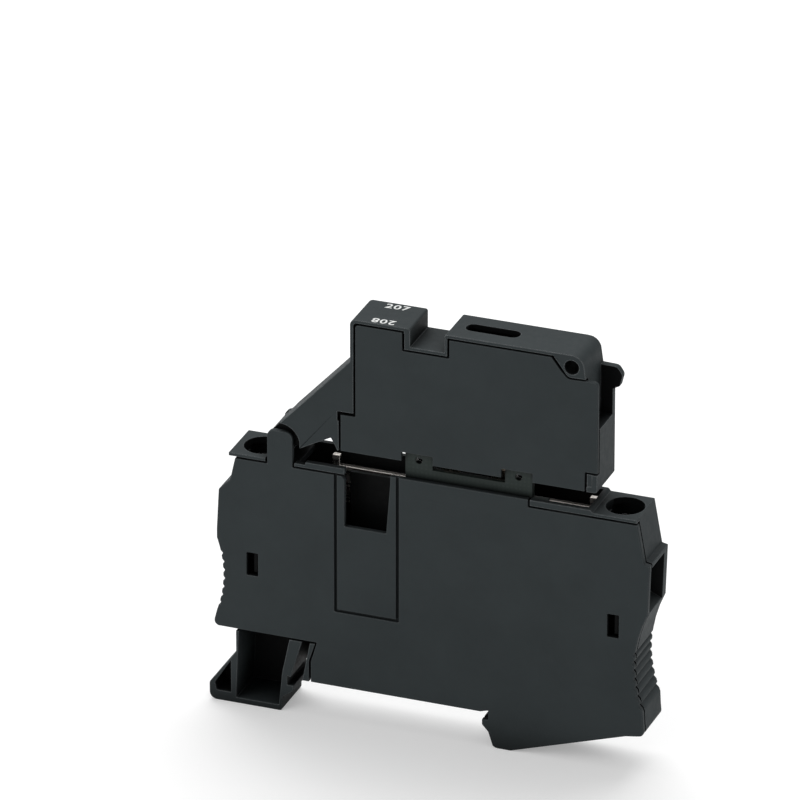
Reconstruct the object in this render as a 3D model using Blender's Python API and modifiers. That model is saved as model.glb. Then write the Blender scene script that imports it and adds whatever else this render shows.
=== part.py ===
"""Fuse terminal block for a 35 mm top-hat rail, with a fuse lever that swings up.

X runs along the block, Y across its width, Z up. The origin is the middle of the seat on the rail.
The open front side of the housing faces -Y and is closed by a side cover.
"""
import math

import bmesh
import bpy
from mathutils import Matrix, Vector

# Lengths are in millimetres and angles in degrees; the meshes are made in metres
MM = 0.001
OBJECT = "fuse_terminal_block"

# Gaps between pieces
CLEARANCE = 0.3
FUSE_CLIP_GAP = 0.2

# Cartridge fuse
FUSE_LENGTH = 20.0
FUSE_DIAMETER = 5.2
FUSE_CAP_LENGTH = 5.0
FUSE_CAP_WALL = 0.35
FUSE_TUBE_BORE = 2.8
FUSE_WIRE_DIAMETER = 0.4

# Sheet metal and walls
CLIP_SHEET = 0.4
BLADE_SHEET = 0.8
BAR_SHEET = 1.0
LEVER_WALL = 0.7
LEVER_SHELL = 1.0
LEVER_RIM = 0.6
COVER_WALL = 1.0
BACK_WALL = 1.0
SHELL_WALL = 1.2

# Widths across the block follow the fuse
LEVER_INNER = FUSE_DIAMETER / 2 + FUSE_CLIP_GAP + CLIP_SHEET + CLEARANCE
LEVER_HALF = LEVER_INNER + LEVER_WALL
BLOCK_HALF = LEVER_HALF + CLEARANCE
FRONT = -BLOCK_HALF
COVER_BACK = FRONT + COVER_WALL
HOUSING_FRONT = COVER_BACK + CLEARANCE
CAVITY_BACK = BLOCK_HALF - BACK_WALL
REACH = BLOCK_HALF + 2.0

# Rail seat and feet
RAIL_WIDTH = 35.0
RAIL_SHEET = 1.0
RAIL_PLAY = 0.3
JAW_GRIP = 1.1
SEAT_RELIEF = 0.4
FOOT_DEPTH = 6.3
FOOT_WALL = 1.0
ANKLE_WALL = 0.6
HEM = 7.5
SKIRT_INSET = 5.3
SKIRT_TUCK = 1.1
SLOT_INSET = 0.5
SLOT_FOOT_WIDTH = 2.1
SLOT_HEAD_WIDTH = 1.25

# Base outline
MIDDLE_X = 8.2
CLAMP_SPAN = 31.7
LEFT_REACH = 6.7
RIGHT_REACH = 5.9
LIP_REACH = 4.45
LIP_WIDTH = 1.1
TOP_REACH = 3.5
TOE_REACH = 8.2
ANKLE_REACH = 3.4
NOSE_REACH = 7.2
TOE_Z = 0.6
BASE_TOP = 40.0
LID_THICKNESS = 0.6
RIM_RISE = 0.5
RIM_JOINT_X = 24.6
LEFT_SHOULDER = 32.9
RIGHT_SHOULDER = 32.0
RIB_PITCH = 1.55
RIB_DEPTH = 0.35
LEFT_HOLLOW = (10.4, 24.0)
LEFT_BOW = 1.15
RIGHT_HOLLOW = (4.8, 23.0)
RIGHT_BOW = 1.9

# Top well and window
WELL_INSET_LEFT = 7.7
WELL_INSET_RIGHT = 5.1
CAVITY_FLOOR = 26.2
WINDOW_X = -3.5
WINDOW_WIDTH = 8.0
WINDOW_LOW = 29.9
WINDOW_SLANT = 0.7
SCREEN_WALL = 0.8
SCREEN_MARGIN = 0.8
PANEL_SHIFT = 0.15
PANEL_WIDTH = 10.9
PANEL_LOW = 13.9
GROOVE_WIDTH = 0.45
GROOVE_DEPTH = 0.5
LATCH_SHIFT = 0.4
LATCH_WIDTH = 2.0
LATCH_LOW = 17.9
LATCH_HEIGHT = 4.2
LATCH_SINK = 0.8

# Screw clamps
SCREW_DIAMETER = 3.5
SCREW_PITCH = 0.6
SCREW_HEAD = 5.0
SCREW_HEAD_HEIGHT = 2.2
SCREW_SLOT = 0.9
SCREW_ACCESS = 6.5
CLAMP_TRAVEL = 3.0
WIRE_SPACE = 4.2
CAGE_LENGTH = 5.0
CAGE_WALL = 0.9
CAGE_ROOF = 1.6
TONGUE_TOP = 30.0
FUNNEL_HEIGHT = 9.2
FUNNEL_WIDTH = 5.8
FUNNEL_NECK = 4.4

# Lever hinge
PIVOT_INSET = 4.6
PIVOT_Z = 43.3
PIN_DIAMETER = 2.8
KNUCKLE_RADIUS = 2.4
TAB_WIDTH = 4.5
TAB_RISE = 2.1
TAB_ROUND = 1.2
ARM_ANGLE = 47.0

# Lever
LEVER_LEFT = -6.6
LEVER_RIGHT = 36.5
LEVER_LOW = 43.5
LEVER_TOP = 67.7
HEEL_X = -8.9
STEP_X = -8.3
STEP_TOP = 50.1
STEP_GAP = 0.55
STEP_GAP_DROP = 1.2
NOTCH_X = 6.9
NOTCH_WIDTH = 6.0
NOTCH_DEPTH = 3.3
COVER_NOTCH_X = 6.6
COVER_NOTCH_WIDTH = 8.15
CATCH_X = 34.3
CATCH_TOP = 47.0
TEST_SLOT_X = 16.8
TEST_SLOT_LENGTH = 9.4
TEST_SLOT_WIDTH = 2.6
BOSS_X = 31.9
BOSS_Z = 65.5
BOSS_BORE = 2.5
DIP_Z = 63.5
HEAD_END = 34.4
GRIP_LOW = 54.7
GRIP_BACK = 2.9
HOOK_LOW = 59.9
HOOK_TOP = 63.4
HOOK_REACH = 1.65

# Fuse, plug contacts and contact plate
FUSE_X = 13.8
FUSE_Z = 54.0
CLIP_LENGTH = 4.0
CLIP_MOUTH = 55.0
BLADE_INNER = 2.8
BLADE_OUTER = 5.6
BLADE_TIP = 33.2
PLATE_THICKNESS = 1.2
PLATE_LOW = 32.6
PLATE_WAIST = 42.2
PLATE_TOP = 48.4
LUG_INNER = 6.3
LUG_OUTER = 11.1
LUG_WINDOW_TOP = 45.1
PLATE_END = 2.8
RIVET_DIAMETER = 1.4
RIVET_DROP = 1.4
FORK_TOP = 38.2
FORK_LOW = 30.6
FORK_MARGIN = 1.2
BAR_HEIGHT = 6.6
BAR_JOG = 2.3
EAR_INSET = {"left": 11.6, "right": 5.4}
EAR_WIDTH = 1.3
EAR_RISE = 1.8

# Blown-fuse indicator
LAMP_DIAMETER = 3.0
LAMP_LENGTH = 4.6
LAMP_TOP = 64.8
BOARD_SHEET = 0.8
BOARD_LOW = 58.6
BOARD_HIGH = 64.4
RESISTOR_DIAMETER = 1.7
RESISTOR_LENGTH = 4.6
BOARD_STUD = 6.0

# Places that follow from the clamps, the rail and the lever
LEFT_CLAMP = MIDDLE_X - CLAMP_SPAN
RIGHT_CLAMP = MIDDLE_X + CLAMP_SPAN
TOE_X = LEFT_CLAMP - TOE_REACH
ANKLE_X = LEFT_CLAMP - ANKLE_REACH
WELL_LEFT = LEFT_CLAMP + WELL_INSET_LEFT
WELL_RIGHT = RIGHT_CLAMP - WELL_INSET_RIGHT
JAW_X = RAIL_WIDTH / 2 + RAIL_PLAY
JAW_TOP = -RAIL_SHEET - RAIL_PLAY
SKIRT_X = SKIRT_INSET - JAW_X
SKIRT_FOOT_X = SKIRT_X - SKIRT_TUCK
COVER_TOP = BASE_TOP - LID_THICKNESS - CLEARANCE
RIM_TOP = BASE_TOP + RIM_RISE
PIVOT_X = LEFT_CLAMP + PIVOT_INSET
BOSS_RADIUS = LEVER_TOP - BOSS_Z
PLATE_ARC = FUSE_X + LUG_OUTER + PLATE_END - PIVOT_X

SIDES = {"left": -1, "right": 1}
ARC_STEP = 18.0
FAR = 100.0


def clear_scene():
    for obj in list(bpy.data.objects):
        bpy.data.objects.remove(obj, do_unlink=True)


def make_collection(name):
    group = bpy.data.collections.new(name)
    bpy.context.scene.collection.children.link(group)
    return group


def finish(name, colour, roughness, metallic=0.0, transmission=0.0):
    """A plain finish for one sort of piece."""
    material = bpy.data.materials.new(name)
    material.use_nodes = True
    shader = material.node_tree.nodes["Principled BSDF"]
    shader.inputs["Base Color"].default_value = (*colour, 1.0)
    shader.inputs["Roughness"].default_value = roughness
    shader.inputs["Metallic"].default_value = metallic
    shader.inputs["Transmission Weight"].default_value = transmission
    return material


# Outlines

def polar(x, z, radius, angle):
    turn = math.radians(angle)
    return (x + radius * math.cos(turn), z + radius * math.sin(turn))


def arc(x, z, radius, start, end):
    """Points along an arc, from one angle to another."""
    steps = max(2, round(abs(end - start) / ARC_STEP))
    return [polar(x, z, radius, start + (end - start) * i / steps) for i in range(steps + 1)]


def rounded(corners):
    """An outline whose corners (x, z, radius) are filleted; a corner without a radius stays sharp."""
    outline = []
    for index, corner in enumerate(corners):
        if len(corner) == 2:
            outline.append(corner)
            continue
        here = Vector(corner[:2])
        before = Vector(corners[index - 1][:2]) - here
        after = Vector(corners[(index + 1) % len(corners)][:2]) - here
        half = before.angle(after) / 2
        radius = min(corner[2], 0.45 * min(before.length, after.length) * math.tan(half))
        centre = here + (before.normalized() + after.normalized()).normalized() * radius / math.sin(half)
        first = here + before.normalized() * radius / math.tan(half) - centre
        last = here + after.normalized() * radius / math.tan(half) - centre
        start = math.degrees(math.atan2(first.y, first.x))
        turn = math.degrees(first.angle_signed(last))
        outline += arc(centre.x, centre.y, radius, start, start - turn)
    return outline


def ribbed(start, end, bow, first, last):
    """A hollowed flank, with grip grooves between two shares of its way; the body lies to the left."""
    start = Vector(start)
    along = Vector(end) - start
    inward = Vector((-along.y, along.x)).normalized()
    pitch = RIB_PITCH / along.length
    count = round((last - first) / pitch)
    marks = {share / 8: 0 for share in range(9) if share in (0, 8) or not first < share / 8 < last}
    for groove in range(count):
        middle = first + (groove + 0.5) * pitch
        marks.update({middle - pitch * 0.3: 0, middle: RIB_DEPTH, middle + pitch * 0.3: 0})
    outline = []
    for share, depth in sorted(marks.items()):
        point = start + along * share + inward * (4 * bow * share * (1 - share) + depth)
        outline.append((point.x, point.y))
    return outline


# Solids

def to_mesh(obj):
    """Replaces a curve by the welded mesh of its evaluated shape."""
    graph = bpy.context.evaluated_depsgraph_get()
    mesh = bpy.data.meshes.new_from_object(obj.evaluated_get(graph))
    mesh.transform(obj.matrix_world)
    work = bmesh.new()
    work.from_mesh(mesh)
    bmesh.ops.remove_doubles(work, verts=work.verts, dist=1e-6)
    bmesh.ops.dissolve_degenerate(work, dist=1e-6, edges=work.edges)
    bmesh.ops.dissolve_limit(work, angle_limit=math.radians(0.1), verts=work.verts, edges=work.edges)
    bmesh.ops.recalc_face_normals(work, faces=work.faces)
    work.to_mesh(mesh)
    work.free()
    result = bpy.data.objects.new(obj.name + "_solid", mesh)
    bpy.context.scene.collection.objects.link(result)
    bpy.data.objects.remove(obj, do_unlink=True)
    return result


def plate(outline, y_from, y_to, axis="Y"):
    """A flat outline given its thickness: drawn in X and Z across Y, or in Y and Z along X."""
    curve = bpy.data.curves.new("outline", "CURVE")
    curve.dimensions = "2D"
    curve.fill_mode = "BOTH"
    curve.extrude = abs(y_to - y_from) / 2 * MM
    spline = curve.splines.new("POLY")
    spline.points.add(len(outline) - 1)
    for point, (x, z) in zip(spline.points, outline):
        point.co = (x * MM, z * MM, 0, 1)
    spline.use_cyclic_u = True
    obj = bpy.data.objects.new("outline", curve)
    bpy.context.scene.collection.objects.link(obj)
    middle = (y_from + y_to) / 2 * MM
    upright = Matrix.Rotation(math.radians(90), 4, "X")
    if axis == "Y":
        obj.matrix_world = Matrix.Translation((0, middle, 0)) @ upright
    else:
        obj.matrix_world = Matrix.Translation((middle, 0, 0)) @ Matrix.Rotation(math.radians(90), 4, "Z") @ upright
    bpy.context.view_layer.update()
    return to_mesh(obj)


def from_bmesh(work, name):
    mesh = bpy.data.meshes.new(name)
    work.to_mesh(mesh)
    work.free()
    obj = bpy.data.objects.new(name, mesh)
    bpy.context.scene.collection.objects.link(obj)
    return obj


def box(x, y, z):
    """A block between pairs of limits."""
    work = bmesh.new()
    bmesh.ops.create_cube(work, size=1.0)
    size = [max(pair) - min(pair) for pair in (x, y, z)]
    centre = [sum(pair) / 2 for pair in (x, y, z)]
    bmesh.ops.scale(work, vec=[length * MM for length in size], verts=work.verts)
    bmesh.ops.translate(work, vec=[place * MM for place in centre], verts=work.verts)
    return from_bmesh(work, "block")


def rod(centre, direction, radius, length, sides=24, end_radius=None):
    """A cylinder, or a cone where the far end has its own radius."""
    work = bmesh.new()
    bmesh.ops.create_cone(work, cap_ends=True, segments=sides, radius1=radius * MM,
                          radius2=(radius if end_radius is None else end_radius) * MM, depth=length * MM)
    turn = Vector((0, 0, 1)).rotation_difference(Vector(direction)).to_matrix().to_4x4()
    place = Matrix.Translation(Vector(centre) * MM) @ turn
    bmesh.ops.transform(work, matrix=place, verts=work.verts)
    return from_bmesh(work, "rod")


def turned(profile, centre, direction, sides=24):
    """A turned piece: profile points (radius, height) run from the bottom to the top of its axis."""
    work = bmesh.new()
    points = [work.verts.new((radius * MM, 0, height * MM)) for radius, height in reversed(profile)]
    for first, second in zip(points, points[1:]):
        work.edges.new((first, second))
    obj = from_bmesh(work, "turned")
    screw = obj.modifiers.new("Turn", "SCREW")
    screw.steps = screw.render_steps = sides
    screw.use_merge_vertices = True
    screw.merge_threshold = 1e-6
    turn = Vector((0, 0, 1)).rotation_difference(Vector(direction)).to_matrix().to_4x4()
    obj.matrix_world = Matrix.Translation(Vector(centre) * MM) @ turn
    bpy.context.view_layer.update()
    return to_mesh(obj)


def boolean(target, tools, operation):
    """Joins or cuts with each tool in turn; the tools stay in the scene as hidden guides."""
    for tool in tools:
        step = target.modifiers.new(operation.title(), "BOOLEAN")
        step.operation = operation
        step.solver = "EXACT"
        step.object = tool
        tool.hide_render = True
        tool.display_type = "WIRE"
        tool.name = "guide"
        for owner in list(tool.users_collection):
            owner.objects.unlink(tool)
        bpy.data.collections["guides"].objects.link(tool)
    return target


def cut(target, *tools):
    return boolean(target, tools, "DIFFERENCE")


def join(target, *tools):
    return boolean(target, tools, "UNION")


def adopt(obj, name, material, pivot=None):
    """Names a finished piece, gives it its material and hangs it on its joint."""
    obj.name = name
    obj.data.name = name
    obj.data.materials.append(material)
    for owner in list(obj.users_collection):
        owner.objects.unlink(obj)
    bpy.data.collections[OBJECT].objects.link(obj)
    if pivot is not None:
        obj.parent = pivot
        obj.matrix_parent_inverse = pivot.matrix_world.inverted()
    return obj


def joint_empty(name, place):
    empty = bpy.data.objects.new(name, None)
    empty.location = Vector(place) * MM
    empty.empty_display_size = 0.005
    bpy.data.collections[OBJECT].objects.link(empty)
    bpy.context.view_layer.update()
    return empty


# Places that several pieces share

def clamp_x(side):
    return MIDDLE_X + side * CLAMP_SPAN


def latch_x(side):
    return clamp_x(side) - LATCH_SHIFT


def flank_x(side):
    return LEFT_CLAMP - LEFT_REACH if side < 0 else RIGHT_CLAMP + RIGHT_REACH


def chamber_half():
    return SCREW_HEAD / 2 + CLEARANCE


def window_edge(side):
    return WINDOW_X + side * WINDOW_WIDTH / 2


def bar_top():
    return TONGUE_TOP - BAR_SHEET + BAR_JOG + BAR_HEIGHT


# Base outlines

def left_flank():
    """From under the lip of the lid down over the grip grooves to the nose."""
    side = flank_x(-1)
    lip_root = LEFT_CLAMP - LIP_REACH + LIP_WIDTH
    flank = [(lip_root, COVER_TOP), (lip_root - 0.9, LEFT_SHOULDER + 2.1), (side + 0.4, LEFT_SHOULDER),
             (side, LEFT_HOLLOW[1] + 1.5)]
    flank += ribbed((side, LEFT_HOLLOW[1]), (side - 0.1, LEFT_HOLLOW[0]), LEFT_BOW, 0.15, 0.97)
    nose = LEFT_CLAMP - NOSE_REACH
    flank += arc(nose + 0.9, HEM + 1.0, 0.95, 165, 262)
    return flank


def right_flank(top):
    """From the toe up over the grip grooves and the ledge to a given height."""
    side = flank_x(1)
    foot = side - 0.9
    flank = rounded([(foot - 3.0, TOE_Z - 0.5), (foot + 0.2, TOE_Z, 0.9), (foot, TOE_Z + 2.0)])[1:]
    flank += ribbed((foot - 0.1, RIGHT_HOLLOW[0]), (side - 0.3, RIGHT_HOLLOW[1]), RIGHT_BOW, 0.02, 0.6)
    lean = (side - 1.0 - RIGHT_CLAMP - TOP_REACH) / (BASE_TOP - RIGHT_SHOULDER - 0.2)
    flank += [(side, RIGHT_SHOULDER), (side - 1.0, RIGHT_SHOULDER + 0.2),
              (RIGHT_CLAMP + TOP_REACH + lean * (BASE_TOP - top), top)]
    return flank


def hinge_tab(low):
    half = TAB_WIDTH / 2
    return rounded([(PIVOT_X + half, low), (PIVOT_X + half, PIVOT_Z + TAB_RISE, TAB_ROUND),
                    (PIVOT_X - half, PIVOT_Z + TAB_RISE, TAB_ROUND), (PIVOT_X - half, low)])


def right_leg():
    slope = rounded([(JAW_X, JAW_TOP - 4.0), (JAW_X + 1.2, -FOOT_DEPTH, 1.4), (JAW_X + 4.0, -FOOT_DEPTH, 0.8),
                     (flank_x(1) - 3.9, TOE_Z - 0.5)])
    return [(JAW_X - JAW_GRIP - CLEARANCE, 0), (JAW_X, SEAT_RELIEF), (JAW_X, JAW_TOP),
            (JAW_X - JAW_GRIP, JAW_TOP), (JAW_X - JAW_GRIP, JAW_TOP - 1.0), (JAW_X, JAW_TOP - 2.2)] + slope[1:]


def left_foot():
    """The foot from its ankle down and round to the jaw that hooks under the rail."""
    sole = rounded([(ANKLE_X, 3.2), (TOE_X, -3.2, 0.6), (TOE_X, -FOOT_DEPTH, 1.3),
                    (-JAW_X - 0.9, -FOOT_DEPTH, 0.5), (-JAW_X - 0.9, JAW_TOP - 2.4)])
    grip = -JAW_X + JAW_GRIP
    return sole + [(grip, JAW_TOP - 1.0), (grip, JAW_TOP), (-JAW_X, JAW_TOP), (-JAW_X, SEAT_RELIEF),
                   (grip + CLEARANCE, 0)]


def body_outline():
    """The whole side view of the base, with the lip, the hinge tab and the raised rim of the well."""
    lip = LEFT_CLAMP - LIP_REACH
    top = [(WELL_RIGHT + 1.0, BASE_TOP), (WELL_RIGHT + 0.6, RIM_TOP), (WELL_LEFT - 0.1, RIM_TOP),
           (WELL_LEFT - 0.4, BASE_TOP)]
    return (left_flank() + [(ANKLE_X, HEM)] + left_foot() + right_leg() + right_flank(BASE_TOP) + top
            + hinge_tab(BASE_TOP) + [(lip, BASE_TOP), (lip, COVER_TOP + 0.2)])


def cover_outline():
    """The side cover ends under the lid, and forms the rim itself between the window and the joint."""
    top = [(RIM_JOINT_X, COVER_TOP), (RIM_JOINT_X, RIM_TOP), (WINDOW_X, RIM_TOP), (WINDOW_X, COVER_TOP)]
    return (left_flank() + [(SKIRT_X, HEM), (SKIRT_FOOT_X, HEM / 2), (SKIRT_FOOT_X, 0)] + right_leg()
            + right_flank(COVER_TOP) + top + hinge_tab(COVER_TOP))


def cover_seat():
    """What the side cover takes from the front of the housing: all but the foot and the lid."""
    top = COVER_TOP + CLEARANCE
    skirt = SKIRT_FOOT_X - CLEARANCE
    below = [(-FAR, HEM - CLEARANCE), (SKIRT_X - CLEARANCE, HEM - CLEARANCE), (skirt, HEM / 2), (skirt, -FAR),
             (FAR, -FAR), (FAR, top), (-FAR, top)]
    tab_half = TAB_WIDTH / 2 + CLEARANCE
    return (plate(below, -REACH, HOUSING_FRONT),
            box((window_edge(-1), RIM_JOINT_X + CLEARANCE), (-REACH, HOUSING_FRONT), (COVER_TOP - 1, FAR)),
            box((PIVOT_X - tab_half, PIVOT_X + tab_half), (-REACH, HOUSING_FRONT), (COVER_TOP - 1, FAR)))


def foot_opening():
    """It runs up behind the hem of the cover, so that its top edge is out of sight."""
    sole = FOOT_WALL - FOOT_DEPTH
    high = HEM + 1.5
    return rounded([(ANKLE_X + ANKLE_WALL, high), (ANKLE_X, sole), (-JAW_X - 1.5, sole), (-JAW_X - 0.9, 0.8, 6.0),
                    (-JAW_X + 0.8, high)])


def slanted_slot():
    """The slot that lets the leg of the foot bend away from the rail."""
    foot = SLOT_INSET - JAW_X
    head = SKIRT_X - 1.1
    return [(foot, -CLEARANCE), (foot + SLOT_FOOT_WIDTH, -CLEARANCE - 0.1), (head, HEM + 0.4),
            (head - SLOT_HEAD_WIDTH, HEM + 0.5)]


def foot_gusset():
    return rounded([(ANKLE_X - 0.95, 1.4), (TOE_X + 1.0, -3.1, 0.4), (TOE_X + 1.3, -4.5, 0.4),
                    (ANKLE_X - 0.95, -4.5)])


def window_outline():
    """The window leans in at its lower right and has a small chamfer at its upper left."""
    left, right = window_edge(-1), window_edge(1)
    high = RIM_TOP + 1.0
    return [(left, WINDOW_LOW), (right - WINDOW_SLANT, WINDOW_LOW), (right, COVER_TOP), (right, high),
            (left - 1.5, high), (left - 0.5, COVER_TOP), (left, COVER_TOP - 0.6)]


def panel_groove():
    """A thin groove down both sides of the panel under the window and along its foot."""
    middle = WINDOW_X - PANEL_SHIFT
    outer = (PANEL_WIDTH + GROOVE_WIDTH) / 2
    inner = (PANEL_WIDTH - GROOVE_WIDTH) / 2
    high = RIM_TOP + 1.0
    return [(middle - outer, PANEL_LOW), (middle + outer, PANEL_LOW), (middle + outer, high),
            (middle + inner, high), (middle + inner, PANEL_LOW + GROOVE_WIDTH),
            (middle - inner, PANEL_LOW + GROOVE_WIDTH), (middle - inner, high), (middle - outer, high)]


# Housing

def lightening_pockets():
    """Cored spaces below the contacts, so that the moulding keeps even walls."""
    low = HEM + 1.5
    high = CAVITY_FLOOR - SHELL_WALL
    left = WELL_LEFT + 0.2
    pitch = (WELL_RIGHT - 1.8 + SHELL_WALL - left) / 4
    starts = [left + pitch * pocket for pocket in range(4)]
    pockets = [[(x, low), (x + pitch - SHELL_WALL, low), (x + pitch - SHELL_WALL, high), (x, high)]
               for x in starts]
    pockets.append([(JAW_X + 1.6, -4.4), (JAW_X + 3.0, -4.8), (flank_x(1) - 5.0, TOE_Z + 1.0),
                    (flank_x(1) - 5.0, HEM), (JAW_X + 1.6, HEM)])
    return pockets


def clamp_chamber(side):
    """The space round one screw clamp, its round top hole, its tongue slit and its wire funnel."""
    x = clamp_x(side)
    half = chamber_half()
    floor = TONGUE_TOP - BAR_SHEET - WIRE_SPACE - SHELL_WALL - CLEARANCE
    chamber = box((x - half, x + half), (-REACH, CAVITY_BACK), (floor, BASE_TOP - SHELL_WALL))
    access = rod((x, 0, BASE_TOP), (0, 0, 1), SCREW_ACCESS / 2, 3 * SHELL_WALL, sides=32)
    inner = x - side * (half - 1.0)
    slit = box((inner, x - side * (half + SHELL_WALL + 1.0)), (-REACH, CAVITY_BACK),
               (TONGUE_TOP - BAR_SHEET - CLEARANCE, TONGUE_TOP + CLEARANCE))
    return [chamber, access, slit, wire_funnel(side)]


def wire_funnel(side):
    """A cone with flat walls from the flank to the clamp; the side cover closes its front."""
    middle = TONGUE_TOP - BAR_SHEET - WIRE_SPACE / 2
    inner_x = clamp_x(side) + side * (chamber_half() - 0.5)
    outer_x = flank_x(side) + side * 0.5
    work = bmesh.new()
    bmesh.ops.create_cube(work, size=1.0)
    for corner in work.verts:
        outside = corner.co.x * side > 0
        height = FUNNEL_HEIGHT if outside else WIRE_SPACE
        width = FUNNEL_WIDTH if outside else FUNNEL_NECK
        x = outer_x if outside else inner_x
        y = width / 2 if corner.co.y > 0 else -REACH
        corner.co = Vector((x, y, middle + corner.co.z * height)) * MM
    return from_bmesh(work, "funnel")


def contact_cavity():
    """The long space for bars and forks, and the well above it for the blades of the lever."""
    left = clamp_x(-1) + chamber_half() + SHELL_WALL
    right = clamp_x(1) - chamber_half() - SHELL_WALL
    space = box((left, right), (-REACH, CAVITY_BACK), (CAVITY_FLOOR, BASE_TOP - SHELL_WALL))
    well = box((WELL_LEFT, WELL_RIGHT), (COVER_BACK, CAVITY_BACK), (CAVITY_FLOOR + SHELL_WALL, BASE_TOP + REACH))
    return space, well


def window_screen():
    """A thin wall that hides the left bar from the window, up to just under the bar's top edge."""
    back = fork_half()
    low, high = window_edge(-1) - SCREEN_MARGIN, window_edge(1) + SCREEN_MARGIN
    return box((low, high), (back - SCREEN_WALL, back), (CAVITY_FLOOR - SHELL_WALL / 2, bar_top() - 0.2))


def latch_hook(side):
    """A snap hook that stands in a window of the side cover."""
    x = latch_x(side)
    return box((x, x + LATCH_WIDTH / 2 - CLEARANCE), (FRONT + LATCH_SINK, CAVITY_BACK + BACK_WALL / 2),
               (LATCH_LOW + CLEARANCE, LATCH_LOW + LATCH_HEIGHT - CLEARANCE))


def make_housing(black):
    housing = plate(body_outline(), FRONT, BLOCK_HALF)
    cut(housing, *cover_seat())
    cut(housing, box((PIVOT_X - TAB_WIDTH, PIVOT_X + TAB_WIDTH), (-REACH, CAVITY_BACK),
                     (BASE_TOP, PIVOT_Z + 2 * TAB_RISE)))
    for pocket in lightening_pockets():
        cut(housing, plate(pocket, -REACH, CAVITY_BACK))
    cut(housing, *contact_cavity())
    for side in SIDES.values():
        cut(housing, *clamp_chamber(side))
        cut(housing, box((latch_x(side) - 2.4, latch_x(side) + 2.4), (-REACH, 0.0),
                         (LATCH_LOW - 0.6, LATCH_LOW + LATCH_HEIGHT + 0.5)))
    for opening in (foot_opening(), slanted_slot()):
        cut(housing, plate(opening, -REACH, CAVITY_BACK))
    cut(housing, plate(foot_gusset(), -REACH, 0.0))
    pin_length = CAVITY_BACK + BACK_WALL / 2 - HOUSING_FRONT
    join(housing, rod((PIVOT_X, HOUSING_FRONT + pin_length / 2, PIVOT_Z), (0, 1, 0), PIN_DIAMETER / 2, pin_length))
    join(housing, window_screen(), *[latch_hook(side) for side in SIDES.values()])
    return adopt(housing, "housing", black)


def make_side_cover(black):
    cover = plate(cover_outline(), FRONT, COVER_BACK)
    cut(cover, plate(window_outline(), -REACH, 0))
    for side in SIDES.values():
        x = latch_x(side)
        cut(cover, box((x - LATCH_WIDTH / 2, x + LATCH_WIDTH / 2), (-REACH, 0),
                       (LATCH_LOW, LATCH_LOW + LATCH_HEIGHT)))
    cut(cover, plate(panel_groove(), -REACH, FRONT + GROOVE_DEPTH))
    return adopt(cover, "side_cover", black)


# Screw clamps and current bars

def make_clamp(name, side, steel, zinc):
    """A cage that its screw draws up under the tongue of the current bar."""
    x = clamp_x(side)
    tongue_low = TONGUE_TOP - BAR_SHEET
    roof_low = TONGUE_TOP + CLEARANCE
    floor_low = tongue_low - WIRE_SPACE - CAGE_WALL
    half_x = CAGE_LENGTH / 2
    half_y = CAVITY_BACK - CLEARANCE
    cage = box((x - half_x, x + half_x), (-half_y, half_y), (floor_low, roof_low + CAGE_ROOF))
    inner = half_y - CAGE_WALL
    cut(cage, box((x - REACH, x + REACH), (-inner, inner), (floor_low + CAGE_WALL, roof_low)))
    cut(cage, rod((x, 0, roof_low + 1), (0, 0, 1), SCREW_DIAMETER / 2 + CLEARANCE, 6))
    lift = joint_empty(name + "_lift", (x, 0, floor_low))
    adopt(cage, name + "_clamp_cage", steel, lift)

    head_low = roof_low + CAGE_ROOF + CLAMP_TRAVEL + CLEARANCE
    shank = rod((x, 0, (roof_low + head_low) / 2 + 0.1), (0, 0, 1), SCREW_DIAMETER / 2, head_low - roof_low + 0.2)
    head = rod((x, 0, head_low + SCREW_HEAD_HEIGHT / 2), (0, 0, 1), SCREW_HEAD / 2, SCREW_HEAD_HEIGHT, sides=32)
    join(shank, head)
    top = head_low + SCREW_HEAD_HEIGHT
    cut(shank, box((x - REACH, x + REACH), (-SCREW_SLOT / 2, SCREW_SLOT / 2), (top - 1.1, top + 1)))
    turn = joint_empty(name + "_turn", (x, 0, head_low))
    adopt(shank, name + "_clamp_screw", zinc, turn)


def fork_limits(side):
    """Along X, the stretch that a blade sweeps while it leaves its fork."""
    inner = FUSE_X + side * BLADE_INNER
    outer = FUSE_X + side * BLADE_OUTER
    low, high = min(inner, outer), max(inner, outer)
    return low - FORK_MARGIN, high + FORK_MARGIN + 0.6


def fork_half():
    """Half the outer width of a fork."""
    return BLADE_SHEET / 2 + CLEARANCE + CLIP_SHEET


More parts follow.
